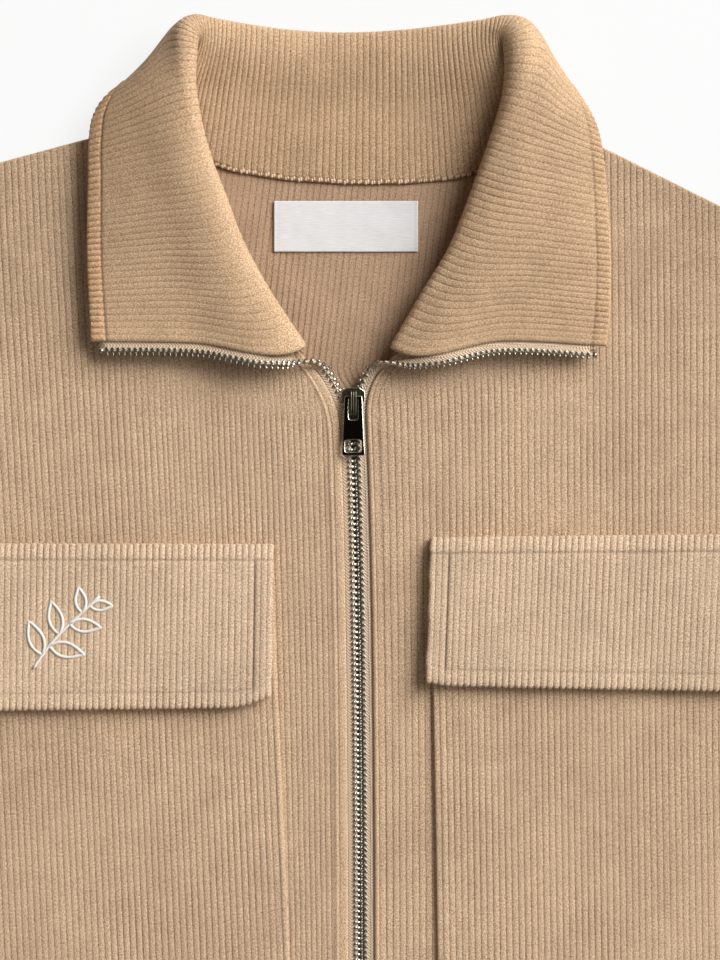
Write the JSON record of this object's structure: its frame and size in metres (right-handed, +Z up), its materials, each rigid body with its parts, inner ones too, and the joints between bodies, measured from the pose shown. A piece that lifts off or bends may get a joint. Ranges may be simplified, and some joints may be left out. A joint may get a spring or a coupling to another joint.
{
  "type": "jacket",
  "caption": "Zip-front corduroy jacket with a turned-down collar and flapped chest pockets, lying flat on its back.",
  "frame": {"origin": "on the underside of the back panel, on the surface it lies on, below the zip and midway between hem and shoulders", "axes": "+X to the right of the jacket as seen from above, across both sleeves; +Y from the hem to the collar; +Z up, away from the surface it lies on"},
  "size_m": [1.3142, 0.6642, 0.0256],
  "materials": {
    "corduroy": "ribbed pile",
    "zip_tape": "woven",
    "label_satin": "satin weave",
    "gunmetal": "polished dark plating"
  },
  "bodies": {
    "jacket": {"back": "corduroy", "front_left": "corduroy", "front_right": "corduroy", "sleeve_left": "corduroy", "sleeve_right": "corduroy", "collar": "corduroy", "pocket_left": "corduroy", "pocket_right": "corduroy", "flap_left": "corduroy", "flap_right": "corduroy", "zip_tape_left": "zip_tape", "zip_tape_right": "zip_tape", "zip_slider": "gunmetal", "zip_box": "gunmetal", "label": "label_satin"},
    "pull": {"zip_pull": "gunmetal"}
  },
  "joints": [
    {"name": "pull_hinge", "type": "hinge", "parent": "jacket", "child": "pull", "pos_m": [-0.0015, 0.1964, 0.00885], "axis": [-1, 0, 0], "range_deg": [0, 110]}
  ]
}
